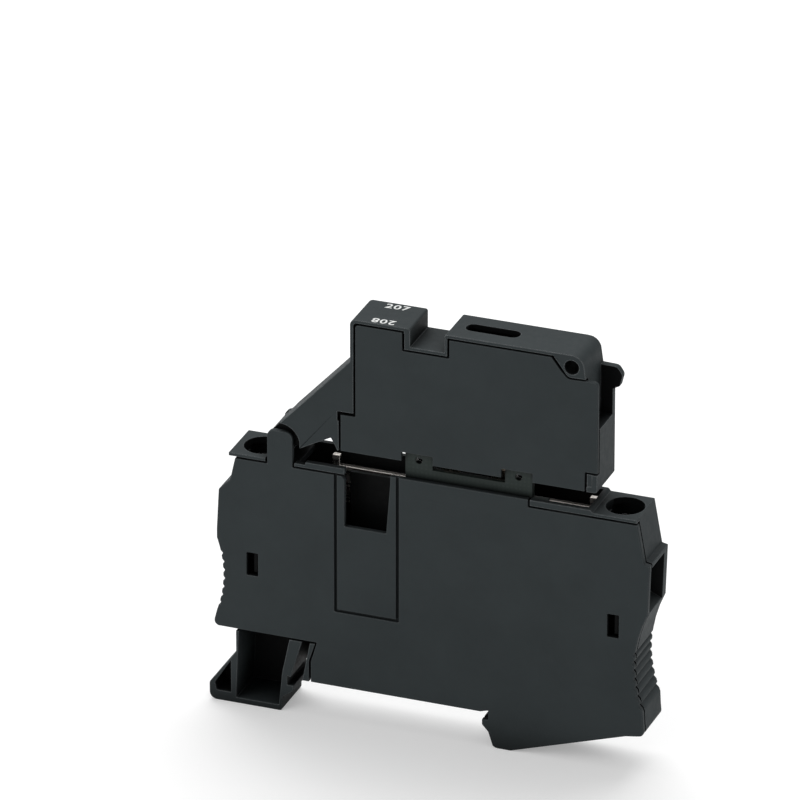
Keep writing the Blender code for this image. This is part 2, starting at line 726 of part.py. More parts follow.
def make_current_bar(name, side, copper):
    """A tongue for the clamp and an upright strip that carries the fork."""
    x = clamp_x(side)
    bar_front = fork_half() + CLEARANCE
    bar_back = bar_front + BAR_SHEET
    inner_half = CAVITY_BACK - 2 * CLEARANCE - CAGE_WALL
    tip = x + side * (CAGE_LENGTH / 2)
    gate = x - side * (chamber_half() + SHELL_WALL + CLEARANCE)
    bend = gate - side * 2.0
    tongue = box((tip, bend), (-inner_half, inner_half), (TONGUE_TOP - BAR_SHEET, TONGUE_TOP))
    low, high = fork_limits(side)
    end = high if side < 0 else low
    rise = gate - side * 6.0
    ear = x - side * EAR_INSET[name]
    neck = gate - side * min(6.0, abs(gate - ear) - 0.5)
    strip_low = TONGUE_TOP - BAR_SHEET
    strip_top = bar_top()
    strip = [(gate, strip_low), (rise, strip_low), (rise - side * 2.4, strip_low + BAR_JOG),
             (end, strip_low + BAR_JOG), (end, strip_top), (ear - side * EAR_WIDTH, strip_top),
             (ear - side * EAR_WIDTH, strip_top + EAR_RISE), (ear, strip_top + EAR_RISE), (ear, strip_top - 2.0),
             (neck, strip_low + 3.6), (gate, strip_low + 3.6)]
    upright = plate(strip, bar_front, bar_back)
    web = box((gate, bend), (0.0, bar_back), (TONGUE_TOP - BAR_SHEET, TONGUE_TOP))
    join(upright, web, tongue)
    return adopt(upright, name + "_current_bar", copper)


def make_fork(name, side, silver):
    """A spring fork: two leaves with flared tips, joined by a bridge."""
    outer = fork_half()
    inner = outer - CLIP_SHEET
    flare = 0.25
    right = [(outer, FORK_LOW), (outer, FORK_TOP - 1.2), (outer + flare, FORK_TOP), (inner + flare, FORK_TOP),
             (inner, FORK_TOP - 1.2), (inner, FORK_LOW + CLIP_SHEET)]
    left = [(-y, z) for y, z in reversed(right)]
    low, high = fork_limits(side)
    fork = plate(right + left, low, high, axis="X")
    return adopt(fork, name + "_plug_fork", silver)


# Lever

def arm_outline():
    """From the top of the arm down to the knuckle, round it and back to the heel of the lever."""
    steep = math.radians(ARM_ANGLE)
    touch = polar(PIVOT_X, PIVOT_Z, KNUCKLE_RADIUS, ARM_ANGLE + 90)
    high = touch[1] + (LEVER_LEFT - touch[0]) * math.tan(steep)
    knuckle = arc(PIVOT_X, PIVOT_Z, KNUCKLE_RADIUS, ARM_ANGLE + 90, 345)
    underside = [(PIVOT_X + KNUCKLE_RADIUS + 0.9, PIVOT_Z - 0.7), (HEEL_X - 1.1, LEVER_LOW + 2.1),
                 (HEEL_X - 0.3, LEVER_LOW + 0.7)]
    return [(LEVER_LEFT, high)] + knuckle + underside


def lever_outline():
    left = NOTCH_X - NOTCH_WIDTH / 2
    right = NOTCH_X + NOTCH_WIDTH / 2
    floor = LEVER_TOP - NOTCH_DEPTH
    tip = LEVER_RIGHT + HOOK_REACH
    end = rounded([(HEEL_X, LEVER_LOW), (LEVER_RIGHT, LEVER_LOW, 0.5), (LEVER_RIGHT, HOOK_LOW - 0.6),
                   (tip - 0.5, HOOK_LOW), (tip, HOOK_LOW + 2.0, 0.9), (tip - 0.9, HOOK_TOP - 0.1, 1.0),
                   (HEAD_END, HOOK_TOP)])
    head = arc(BOSS_X, BOSS_Z, BOSS_RADIUS, 0, 90)
    top = rounded([head[-1], (right, LEVER_TOP, 0.4), (right, floor), (left, floor), (left, LEVER_TOP, 0.4),
                   (LEVER_LEFT, LEVER_TOP, 1.0), (LEVER_LEFT, LEVER_LOW + 10)])
    return arm_outline() + end + head + top[1:-1]


def lever_cover_outline(grow):
    """The lever's side plate; grow widens it where it meets the rim, to cut its seat."""
    inset = LEVER_RIM + CLEARANCE - grow
    past = grow * 6
    left = COVER_NOTCH_X - COVER_NOTCH_WIDTH / 2 + grow
    right = COVER_NOTCH_X + COVER_NOTCH_WIDTH / 2 - grow
    top = LEVER_TOP - inset
    floor = LEVER_TOP - NOTCH_DEPTH - inset
    dip = DIP_Z + grow
    return rounded([(STEP_X - grow, LEVER_LOW - past), (CATCH_X + grow, LEVER_LOW - past),
                    (CATCH_X + grow, CATCH_TOP - grow), (LEVER_RIGHT + past, CATCH_TOP - grow),
                    (LEVER_RIGHT + past, dip, 0.8), (BOSS_X - 0.6, dip - 0.2, 1.2), (BOSS_X - 2.0 + grow, dip + 1.3),
                    (BOSS_X - 3.5 + grow, top, 0.3), (right, top), (right, floor), (left, floor), (left, top),
                    (LEVER_LEFT + inset, top, 0.6), (LEVER_LEFT + inset, STEP_TOP + grow),
                    (STEP_X - grow, STEP_TOP + grow)])


def lever_pocket():
    """The space for fuse and indicator, and the mouth below it for the blades and the contact plate."""
    left = LEVER_LEFT + LEVER_SHELL
    right = LEVER_RIGHT - LEVER_SHELL
    top = LEVER_TOP - LEVER_SHELL
    notch_left = NOTCH_X - NOTCH_WIDTH / 2 - LEVER_SHELL
    notch_right = NOTCH_X + NOTCH_WIDTH / 2 + LEVER_SHELL
    notch_floor = LEVER_TOP - NOTCH_DEPTH - LEVER_SHELL
    floor = LEVER_LOW + LEVER_SHELL
    mouth = LUG_OUTER + 2 * CLEARANCE + 0.6
    end = HEAD_END - LEVER_SHELL
    low = GRIP_LOW - LEVER_SHELL
    bay = BOSS_X - BOSS_RADIUS - 0.6
    space = rounded([(left, floor), (right, floor), (right, low), (end, low + 1.5), (end, DIP_Z - 0.8),
                     (bay, DIP_Z - 0.6), (bay, top, 0.5), (notch_right, top), (notch_right, notch_floor),
                     (notch_left, notch_floor + 0.1), (notch_left, top - 0.1), (left, top - 0.1)])
    return (plate(space, -REACH, LEVER_INNER),
            box((FUSE_X - mouth, FUSE_X + mouth), (-REACH, LEVER_INNER), (LEVER_LOW - REACH, floor + LEVER_SHELL)))


def knuckle_half():
    return min(-COVER_BACK, CAVITY_BACK) - CLEARANCE


def make_lever_body(black, pivot):
    body = plate(lever_outline(), -LEVER_HALF, LEVER_HALF)
    seat = CLEARANCE - LEVER_INNER
    cut(body, plate(lever_cover_outline(CLEARANCE), -REACH, seat))
    cut(body, box((STEP_X - STEP_GAP, LEVER_LEFT + LEVER_RIM), (-REACH, seat),
                  (STEP_TOP - STEP_GAP_DROP, STEP_TOP + STEP_GAP)))
    cut(body, *lever_pocket())
    cut(body, rod((BOSS_X, 0, BOSS_Z), (0, 1, 0), BOSS_BORE / 2, 3 * LEVER_HALF))
    tab_room = math.hypot(TAB_WIDTH / 2, TAB_RISE) + CLEARANCE
    for side in SIDES.values():
        middle = side * (knuckle_half() + REACH) / 2
        length = REACH - knuckle_half()
        cut(body, rod((PIVOT_X, middle, PIVOT_Z), (0, 1, 0), tab_room, length, sides=36))
    cut(body, rod((PIVOT_X, 0, PIVOT_Z), (0, 1, 0), PIN_DIAMETER / 2 + CLEARANCE, 3 * BLOCK_HALF))
    cut(body, test_slot(), box((HEAD_END, LEVER_RIGHT + REACH), (-REACH, GRIP_BACK), (GRIP_LOW, LEVER_TOP + 1)))
    join(body, box((CATCH_X + CLEARANCE, LEVER_RIGHT - 0.2), (0.15 - LEVER_HALF, 0.8 - LEVER_INNER),
                   (LEVER_LOW + 0.5, CATCH_TOP - CLEARANCE)))
    for side in SIDES.values():
        x = FUSE_X + side * (LUG_OUTER - 0.8)
        y = plate_back() + CLEARANCE
        length = LEVER_HALF - 0.1 - y
        join(body, rod((x, y + length / 2, PLATE_TOP - RIVET_DROP), (0, 1, 0), RIVET_DIAMETER / 2, length, sides=12))
        stud = TEST_SLOT_X + side * BOARD_STUD
        join(body, box((stud - 1, stud + 1), (board_back() + CLEARANCE, LEVER_HALF - 0.1),
                       (BOARD_LOW + 1, BOARD_HIGH - 1.4)))
    return adopt(body, "lever_body", black, pivot)


def test_slot():
    """The long round-ended slot in the top of the lever."""
    half = TEST_SLOT_WIDTH / 2
    reach = TEST_SLOT_LENGTH / 2 - half
    low = LEVER_TOP - 3 * LEVER_SHELL
    slot = box((TEST_SLOT_X - reach, TEST_SLOT_X + reach), (-half, half), (low, LEVER_TOP + 2))
    height = LEVER_TOP + 2 - low
    ends = [rod((TEST_SLOT_X + side * reach, 0, low + height / 2), (0, 0, 1), half, height)
            for side in SIDES.values()]
    return join(slot, *ends)


def make_lever_cover(black, pivot):
    cover = plate(lever_cover_outline(0.0), -LEVER_HALF, -LEVER_INNER)
    for side in SIDES.values():
        ends = sorted((FUSE_X + side * (LUG_INNER - CLEARANCE), FUSE_X + side * (LUG_OUTER + CLEARANCE)))
        cut(cover, box(ends, (-REACH, 0), (LEVER_LOW - REACH, LUG_WINDOW_TOP)))
    return adopt(cover, "lever_cover", black, pivot)


def plate_back():
    return COVER_BACK + CLEARANCE + PLATE_THICKNESS


def make_contact_plate(board, pivot):
    """An insulating plate that dips into the base; its end is an arc about the hinge."""
    left = FUSE_X - LUG_OUTER
    right = FUSE_X + LUG_OUTER
    low_angle = -math.degrees(math.asin((PIVOT_Z - PLATE_LOW) / PLATE_ARC))
    high_angle = -math.degrees(math.asin((PIVOT_Z - PLATE_WAIST + 2.0) / PLATE_ARC))
    end = arc(PIVOT_X, PIVOT_Z, PLATE_ARC, low_angle, high_angle)
    outline = rounded([(left, PLATE_TOP, 0.5), (left, PLATE_LOW, 0.8)] + end +
                      [(right, end[-1][1]), (right, PLATE_TOP, 0.5), (FUSE_X + LUG_INNER, PLATE_TOP, 0.5),
                       (FUSE_X + LUG_INNER, PLATE_WAIST), (FUSE_X - LUG_INNER, PLATE_WAIST),
                       (FUSE_X - LUG_INNER, PLATE_TOP, 0.5)])
    front = COVER_BACK + CLEARANCE
    body = plate(outline, front, plate_back())
    for side in SIDES.values():
        x = FUSE_X + side * (LUG_INNER + LUG_OUTER) / 2
        for z in (PLATE_WAIST + 1.4, PLATE_WAIST - 4.0):
            cut(body, rod((x, front, z), (0, 1, 0), 0.6, 4, sides=16))
    return adopt(body, "contact_plate", board, pivot)


# Fuse and its clips

def fuse_end(side):
    """The middle of one end cap, along X."""
    return FUSE_X + side * (FUSE_LENGTH - FUSE_CAP_LENGTH) / 2


def make_fuse_clip(name, side, silver, pivot):
    """A spring clip round the fuse cap, stamped in one piece with its plug blade."""
    inner = FUSE_DIAMETER / 2 + FUSE_CLIP_GAP
    outer = inner + CLIP_SHEET
    mouth = CLIP_MOUTH
    ring = arc(0, FUSE_Z, outer, 180 - mouth, 360 + mouth) + arc(0, FUSE_Z, inner, 360 + mouth, 180 - mouth)
    x = fuse_end(side)
    clip = plate(ring, x - CLIP_LENGTH / 2, x + CLIP_LENGTH / 2, axis="X")
    near = FUSE_X + side * BLADE_INNER
    far = FUSE_X + side * BLADE_OUTER
    hold_near = x - side * (CLIP_LENGTH / 2 + 0.3)
    hold_far = x + side * 1.2
    top = FUSE_Z - inner - CLIP_SHEET / 2
    blade = [(near, BLADE_TIP + 0.8), (near + side * 0.6, BLADE_TIP), (far - side * 0.6, BLADE_TIP),
             (far, BLADE_TIP + 0.8), (far, LEVER_LOW + 2), (hold_far, top - 2.2), (hold_far, top), (hold_near, top),
             (hold_near, top - 2.0), (near, LEVER_LOW + 3)]
    join(clip, plate(blade, -BLADE_SHEET / 2, BLADE_SHEET / 2))
    return adopt(clip, name + "_fuse_clip", silver, pivot)


def make_fuse(glass, nickel, wire_metal, pivot):
    cap_radius = FUSE_DIAMETER / 2
    tube_radius = cap_radius - FUSE_CAP_WALL - FUSE_CLIP_GAP
    lid = 0.6
    half = FUSE_LENGTH / 2 - lid - CLEARANCE
    centre = (FUSE_X, 0, FUSE_Z)
    bore = FUSE_TUBE_BORE / 2
    tube = turned([(bore, -half), (tube_radius, -half), (tube_radius, half), (bore, half), (bore, -half)][::-1],
                  centre, (1, 0, 0), sides=28)
    adopt(tube, "fuse_tube", glass, pivot)
    for name, side in SIDES.items():
        place = (fuse_end(side), 0, FUSE_Z)
        cap = rod(place, (1, 0, 0), cap_radius, FUSE_CAP_LENGTH, sides=32)
        inner = cap_radius - FUSE_CAP_WALL
        hollow = rod((place[0] - side * lid, 0, FUSE_Z), (1, 0, 0), inner, FUSE_CAP_LENGTH, sides=28)
        adopt(cut(cap, hollow), name + "_fuse_cap", nickel, pivot)
    wire = rod(centre, (1, 0, 0), FUSE_WIRE_DIAMETER / 2, 2 * half, sides=10)
    adopt(wire, "fuse_wire", wire_metal, pivot)


# Blown-fuse indicator

def board_back():
    return LAMP_DIAMETER / 2 + CLEARANCE + BOARD_SHEET


def make_indicator(board_green, lamp_red, ceramic, pivot):
    front = LAMP_DIAMETER / 2 + CLEARANCE
    foot = FUSE_Z + FUSE_DIAMETER / 2 + FUSE_CLIP_GAP + CLIP_SHEET + CLEARANCE
    left = fuse_end(-1) - CLIP_LENGTH / 2
    right = fuse_end(1) + CLIP_LENGTH / 2
    step = NOTCH_X + NOTCH_WIDTH / 2 + LEVER_SHELL + 1.0
    under_notch = LEVER_TOP - NOTCH_DEPTH - LEVER_SHELL - 0.6
    outline = [(left, foot), (left + 2.4, foot), (left + 3.4, BOARD_LOW), (right - 3.4, BOARD_LOW),
               (right - 2.4, foot), (right, foot), (right, BOARD_HIGH), (step, BOARD_HIGH), (step, under_notch),
               (step - 1.6, under_notch - 0.4), (left, BOARD_LOW + 3)]
    adopt(plate(outline, front, board_back()), "indicator_board", board_green, pivot)
    radius = LAMP_DIAMETER / 2
    dome = [(radius * math.cos(math.radians(a)), LAMP_LENGTH - radius + radius * math.sin(math.radians(a)))
            for a in range(0, 91, 18)]
    profile = [(0.0, 0.0), (radius, 0.0)] + dome[:-1] + [(0.0, LAMP_LENGTH)]
    lamp = turned(profile, (TEST_SLOT_X, 0, LAMP_TOP - LAMP_LENGTH), (0, 0, 1))
    adopt(lamp, "indicator_lamp", lamp_red, pivot)
    fat = RESISTOR_DIAMETER / 2
    half = RESISTOR_LENGTH / 2
    waist = fat * 0.82
    beads = [(0.0, -half - 1.0), (0.25, -half - 1.0), (0.25, -half), (fat * 0.7, -half), (fat, -half + 0.4),
             (fat, -half + 1.0), (waist, -half + 1.4)]
    profile = beads + [(radius_at, -height) for radius_at, height in reversed(beads)]
    x = TEST_SLOT_X - LAMP_DIAMETER / 2 - half - 1.8
    resistor = turned(profile, (x, front - CLEARANCE - fat, (BOARD_LOW + BOARD_HIGH) / 2 - 0.6), (1, 0, 0), sides=20)
    adopt(resistor, "indicator_resistor", ceramic, pivot)


def build():
    clear_scene()
    make_collection(OBJECT)
    make_collection("guides")
    black = finish("black_moulding", (0.030, 0.033, 0.036), 0.45)
    board = finish("green_black_plate", (0.016, 0.024, 0.020), 0.4)
    circuit = finish("green_board", (0.02, 0.10, 0.05), 0.4)
    steel = finish("plated_steel", (0.55, 0.55, 0.53), 0.35, metallic=1.0)
    zinc = finish("bright_zinc", (0.62, 0.63, 0.64), 0.3, metallic=1.0)
    copper = finish("tinned_copper", (0.60, 0.55, 0.50), 0.3, metallic=1.0)
    silver = finish("silvered_spring", (0.66, 0.64, 0.60), 0.25, metallic=1.0)
    nickel = finish("nickel_cap", (0.60, 0.58, 0.54), 0.2, metallic=1.0)
    wire_metal = finish("fuse_wire", (0.75, 0.73, 0.70), 0.3, metallic=1.0)
    glass = finish("clear_glass", (0.95, 0.97, 0.97), 0.03, transmission=1.0)
    lamp_red = finish("red_lamp", (0.45, 0.02, 0.015), 0.2, transmission=0.4)
    ceramic = finish("resistor_body", (0.30, 0.42, 0.50), 0.5)

    make_housing(black)
    make_side_cover(black)
    for name, side in SIDES.items():
        make_current_bar(name, side, copper)
        make_fork(name, side, silver)
        make_clamp(name, side, steel, zinc)
    hinge = joint_empty("lever_hinge", (PIVOT_X, 0, PIVOT_Z))
    make_lever_body(black, hinge)
    make_lever_cover(black, hinge)
    make_contact_plate(board, hinge)
    for name, side in SIDES.items():
        make_fuse_clip(name, side, silver, hinge)
    make_fuse(glass, nickel, wire_metal, hinge)
    make_indicator(circuit, lamp_red, ceramic, hinge)


build()
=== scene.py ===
# %% [markdown]
# # A fuse terminal block with a swing-up fuse lever
#
# This script dresses one slim terminal block for a top-hat rail. The block's solids come ready
# made as a fixed frame, in metres, with Z away from the rail. Here they get rounded edges, fine
# parts such as leads, tracks and printed numbers, and finishes made only from nodes.

# %% Load the frame
import math

import bmesh
import bpy
from mathutils import Matrix, Vector


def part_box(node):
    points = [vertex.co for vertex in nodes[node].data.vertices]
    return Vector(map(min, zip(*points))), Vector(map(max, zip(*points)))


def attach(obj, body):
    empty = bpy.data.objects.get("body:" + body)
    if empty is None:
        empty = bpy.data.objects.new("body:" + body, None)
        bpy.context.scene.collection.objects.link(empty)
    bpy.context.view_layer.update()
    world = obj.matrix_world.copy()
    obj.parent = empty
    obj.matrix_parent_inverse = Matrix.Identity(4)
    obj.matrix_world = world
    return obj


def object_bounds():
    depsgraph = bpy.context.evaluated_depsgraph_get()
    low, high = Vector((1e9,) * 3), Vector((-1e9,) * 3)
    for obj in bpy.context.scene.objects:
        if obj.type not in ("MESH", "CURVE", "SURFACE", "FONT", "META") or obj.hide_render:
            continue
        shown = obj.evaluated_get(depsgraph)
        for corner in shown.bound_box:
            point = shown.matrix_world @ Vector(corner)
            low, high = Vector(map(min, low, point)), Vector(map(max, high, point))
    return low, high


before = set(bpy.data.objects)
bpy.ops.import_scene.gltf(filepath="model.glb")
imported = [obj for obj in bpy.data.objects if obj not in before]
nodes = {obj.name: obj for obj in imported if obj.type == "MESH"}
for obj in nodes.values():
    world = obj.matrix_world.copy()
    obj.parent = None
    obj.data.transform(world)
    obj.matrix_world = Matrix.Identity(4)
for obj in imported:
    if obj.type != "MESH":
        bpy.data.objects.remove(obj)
cad_low, cad_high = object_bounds()
MM = 0.001
print("frame of", len(nodes), "nodes, box in mm:",
      [round((b - a) / MM, 1) for a, b in zip(cad_low, cad_high)])

# %% [markdown]
# ## The camera
#
# The picture was taken with a long lens from the right and a little above, so the parallel edges
# stay almost parallel. Two angles give the way the camera looks. A distance, a small slide
# sideways and a small slide up put the block where it stands in the picture. A lens with a shift
# could do the same, but a plain slide keeps every other view simple.

# %% Point the camera
AZIMUTH = math.radians(20.8045)
ELEVATION = math.radians(25.8024)
DISTANCE = 1736.715 * MM
FOCUS_PIXELS = 10442.606
PICTURE = 800
SENSOR = 36.0
SLIDE_RIGHT = -1.36656 * MM
SLIDE_DOWN = 53.90854 * MM
AIM = Vector((0.889, 0.0, 7.72)) * MM
NEAREST_SEEN, FURTHEST_SEEN = 0.1, 60.0

look = Vector((-math.sin(AZIMUTH) * math.cos(ELEVATION), math.cos(AZIMUTH) * math.cos(ELEVATION),
               -math.sin(ELEVATION)))
right = Vector((math.cos(AZIMUTH), math.sin(AZIMUTH), 0.0))
down = look.cross(right)

lens = bpy.data.cameras.new("camera")
lens.sensor_width = SENSOR
lens.lens = FOCUS_PIXELS / PICTURE * SENSOR
lens.clip_start = NEAREST_SEEN
lens.clip_end = FURTHEST_SEEN
camera = bpy.data.objects.new("camera", lens)
bpy.context.scene.collection.objects.link(camera)
bpy.context.scene.camera = camera
turn = Matrix((right, -down, -look)).transposed()
place = -right * SLIDE_RIGHT - down * SLIDE_DOWN - look * DISTANCE - AIM
camera.matrix_world = Matrix.Translation(place) @ turn.to_4x4()
print("lens", round(lens.lens, 1), "mm, camera at", [round(c, 3) for c in place])

# %% [markdown]
# ## A small kit for finishes
#
# Every finish below is a node tree. A few helpers keep the cells short: one starts a material
# and returns a function that adds nodes, and the others add the nodes that come up most often,
# which are a sum, a blend of two colours, a noise and a colour ramp.

# %% Node helpers
def start(name):
    """A new material, its shader, and a function that adds a node with its settings and inputs."""
    material = bpy.data.materials.new(name)
    material.use_nodes = True
    tree = material.node_tree
    shader = tree.nodes["Principled BSDF"]

    def add(kind, inputs=(), **settings):
        node = tree.nodes.new("ShaderNode" + kind)
        for key, value in settings.items():
            setattr(node, key, value)
        for key, value in dict(inputs).items():
            if isinstance(value, bpy.types.NodeSocket):
                tree.links.new(value, node.inputs[key])
            else:
                node.inputs[key].default_value = value
        return node

    def feed(socket, output):
        tree.links.new(output, shader.inputs[socket])

    return material, shader, add, feed


def compute(add, operation, *values):
    """One sum or comparison; the values fill the node's inputs in their order."""
    return add("Math", dict(enumerate(values)), operation=operation).outputs["Value"]


def blend(add, factor, under, over):
    """Two colours mixed; each is a node's output or a plain (red, green, blue)."""
    under, over = ((*c, 1.0) if isinstance(c, tuple) else c for c in (under, over))
    mixed = add("Mix", {"Factor": factor, "A": under, "B": over}, data_type="RGBA")
    return mixed.outputs["Result"]


def noise(add, where, scale, detail, roughness=0.5):
    """Cloudy noise; a larger scale gives finer spots."""
    inputs = {"Vector": where, "Scale": scale, "Detail": detail, "Roughness": roughness}
    return add("TexNoise", inputs).outputs["Fac"]


def ramp(add, factor, stops):
    """A colour ramp from a list of (position, grey or colour)."""
    node = add("ValToRGB", {"Fac": factor})
    while len(node.color_ramp.elements) < len(stops):
        node.color_ramp.elements.new(0.5)
    for element, (position, colour) in zip(node.color_ramp.elements, stops):
        element.position = position
        element.color = (*(colour if isinstance(colour, tuple) else (colour,) * 3), 1.0)
    return node.outputs["Color"]


def paint(name, material):
    """Gives a node of the frame one material all over."""
    slots = nodes[name].data.materials
    slots.clear()
    slots.append(material)


print("helpers ready")

# %% [markdown]
# ## Black moulding
#
# The shells are moulded in black polyamide. The mould's spark-worn skin leaves a fine grain, so
# the surface is neither glossy nor flat: it shows a soft grey veil. Three noises do it: a broad
# one lets the black drift a little, a middle one breaks up the gloss, and the finest one raises
# the grain. Edges get a lighter grey, partly as wear and partly as a painted highlight where a
# rounded edge would catch the light; the angle between the true surface and one with rounded
# edges finds them. Deep places get painted shade, darker than the lamps alone would make them:
# ambient occlusion takes some colour away there, faces that look to the front from inside the
# shell get a deeper black, and so does a hollow that is named by its sides.

# %% Masks for edge highlights and for painted shade in depths, inner faces and hollows
BLACK = (0.0375, 0.0450, 0.0472)
# Near black used as painted shade in recesses and hollows.
PAINTED_SHADE_BLACK = (0.0030, 0.0034, 0.0036)
# Lighter grey along edges: partly wear, partly a painted highlight.
EDGE_WEAR_AND_HIGHLIGHT = (0.400, 0.420, 0.430)


def rounded_normal(add, width):
    """The normal of a surface whose edges are rounded off, and a mask white along edges."""
    soft = add("Bevel", {"Radius": width}, samples=8).outputs["Normal"]
    true = add("NewGeometry").outputs["Normal"]
    same = add("VectorMath", {0: soft, 1: true}, operation="DOT_PRODUCT").outputs["Value"]
    edges = add("MapRange", {"Value": same, "From Min": 0.985, "From Max": 0.90})
    return soft, edges.outputs["Result"]


def painted_depth_shade(add, reach):
    """White in the open, black deep inside a slot or a well, where painted shade goes."""
    open_sky = add("AmbientOcclusion", {"Distance": reach}, samples=8).outputs["AO"]
    clipped = add("MapRange", {"Value": open_sky, "From Min": 0.30, "From Max": 0.92})
    return clipped.outputs["Result"]


def painted_inner_shade(add, where, behind):
    """White on faces that look to the front from further back than a given Y; these get painted
    shade.
    """
    depth = add("SeparateXYZ", {"Vector": where}).outputs["Y"]
    back = compute(add, "GREATER_THAN", depth, behind)
    normal = add("NewGeometry").outputs["True Normal"]
    facing = add("SeparateXYZ", {"Vector": normal}).outputs["Y"]
    front = compute(add, "LESS_THAN", facing, -0.5)
    return compute(add, "MULTIPLY", back, front)


def painted_hollow_shade(add, where, hollow, lip, back):
    """White inside a hollow (left, right, low, high, in mm), from lip to back in metres; it gets
    painted shade.
    """
    left_end, right_end, low, high = (value * MM for value in hollow)
    parts = add("SeparateXYZ", {"Vector": where})
    mask = 1.0
    for axis, lower, upper in (("X", left_end, right_end), ("Y", lip, back), ("Z", low, high)):
        middle, reach = (lower + upper) / 2, (upper - lower) / 2
        inside = compute(add, "COMPARE", parts.outputs[axis], middle, reach)
        mask = compute(add, "MULTIPLY", inside, mask)
    return mask


print("edge, depth, inner and hollow masks ready")

# %% [markdown]
# ## Marks that a mould leaves
#
# Ejector pins leave shallow rings on a moulded face, and a rib behind a thin wall leaves a faint
# line where the plastic sank. Both are functions of the place alone: a ring is a distance from
# an axis, a line is a distance from a height. Each is a narrow mask that dents the surface.

# %% Rings and sink lines
RING_WIDTH = 0.11
LINE_WIDTH = 0.14


def narrow(add, value, target, width):
    """White where a value comes within a width of its target."""
    off = compute(add, "ABSOLUTE", compute(add, "SUBTRACT", value, target))
    near = add("MapRange", {"Value": off, "From Min": width, "From Max": width * 0.4})
    return near.outputs["Result"]


def ring_at(x, z, radius):
    """A function that makes the mask of a ring around an axis along Y; all in mm."""
    def mask(add, where):
        flat = add("VectorMath", {0: where, 1: (1.0, 0.0, 1.0)}, operation="MULTIPLY")
        away = add("VectorMath", {0: flat.outputs["Vector"], 1: (x * MM, 0.0, z * MM)},
                   operation="DISTANCE")
        return narrow(add, away.outputs["Value"], radius * MM, RING_WIDTH * MM)
    return mask


def sink_at(left, right_end, z):
    """A function that makes the mask of a short line along X at one height; all in mm."""
    def mask(add, where):
        parts = add("SeparateXYZ", {"Vector": where})
        middle, reach = (left + right_end) / 2 * MM, (right_end - left) / 2 * MM
        along = narrow(add, parts.outputs["X"], middle, reach)
        across = narrow(add, parts.outputs["Z"], z * MM, LINE_WIDTH * MM)
        return compute(add, "MULTIPLY", along, across)
    return mask


print("ring and sink line ready")

# %% [markdown]
# ## One recipe for the four shells
#
# The same plastic, with its own marks for each shell. The housing has ejector rings on its back
# and painted shade, nearly black, in the hollow of its rail foot. The side cover has the head of
# the hinge pin in its tab and one sink line, and the lever body has two rings. The lever cover has
# no marks.

# %% Make the black moulding
GRAIN = 5200.0
GRAIN_DEPTH = 0.03 * MM
EDGE_ROUNDING = 0.28 * MM
SHADE_REACH = 8.0 * MM
LIP = 0.25
# The rail foot's hollow, in mm, which gets painted shade.
FOOT_HOLLOW = (-26.0, -19.5, -4.9, 6.2)


def moulding(name, behind, marks, hollows=()):
    """Black polyamide; marks is a list of functions of (add, where) that each give a mask."""
    material, shader, add, feed = start(name + "_black")
    where = add("TexCoord").outputs["Object"]
    drift = noise(add, where, 90.0, 3.0, 0.6)
    speck = noise(add, where, 900.0, 4.0, 0.7)
    grain = noise(add, where, GRAIN, 2.0, 0.6)
    darker, paler = (tuple(c * factor for c in BLACK) for factor in (0.95, 1.06))
    body = ramp(add, drift, [(0.35, darker), (0.65, paler)])
    soft, edges = rounded_normal(add, EDGE_ROUNDING)
    # Edges lightened in specks: wear together with a painted highlight.
    rubbed_and_highlit = blend(add, compute(add, "MULTIPLY", edges, speck), body, EDGE_WEAR_AND_HIGHLIGHT)
    # Painted shade on faces inside the shell that look to the front.
    inside = painted_inner_shade(add, where, behind * MM)
    # Each named hollow adds painted shade to the mask.
    for hollow in hollows:
        hollow_shade = painted_hollow_shade(add, where, hollow, (behind + LIP) * MM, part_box(name)[1].y - LIP * MM)
        inside = compute(add, "MAXIMUM", inside, hollow_shade)
    shaded = blend(add, inside, rubbed_and_highlit, PAINTED_SHADE_BLACK)
    # Painted shade: ambient occlusion darkens the colour deep in slots and wells.
    feed("Base Color", blend(add, painted_depth_shade(add, SHADE_REACH), PAINTED_SHADE_BLACK, shaded))
    feed("Roughness", ramp(add, speck, [(0.30, 0.52), (0.70, 0.66)]))
    height = grain
    for mark in marks:
        height = compute(add, "SUBTRACT", height, mark(add, where))
    bump = add("Bump", {"Height": height, "Strength": 0.5, "Distance": GRAIN_DEPTH, "Normal": soft})
    feed("Normal", bump.outputs["Normal"])
    shader.inputs["Specular IOR Level"].default_value = 0.08
    return material


PIVOT_X, PIVOT_Z = -18.9, 43.3
BACK_RINGS = ((-14.0, 12.0), (12.0, 12.0), (34.0, 12.0), (12.0, 33.0))
LEVER_RINGS = ((0.0, 50.0), (30.0, 50.0))
SHELLS = {
    "housing": (-4.2, [ring_at(x, z, 1.5) for x, z in BACK_RINGS], [FOOT_HOLLOW]),
    "side_cover": (0.0, [ring_at(PIVOT_X, PIVOT_Z, 1.2), sink_at(2.4, 17.8, 37.4)], []),
    "lever_body": (-3.9, [ring_at(x, z, 1.2) for x, z in LEVER_RINGS], []),
    "lever_cover": (0.0, [], []),
}
for name, recipe in SHELLS.items():
    paint(name, moulding(name, *recipe))
print("black moulding on", len(SHELLS), "shells")

# %% [markdown]
# ## Contact plate
#
# The plate under the lever is punched from dark glass-fibre laminate, so it has a faint woven
# ground under a smooth resin skin. Two crossed waves give the weave.

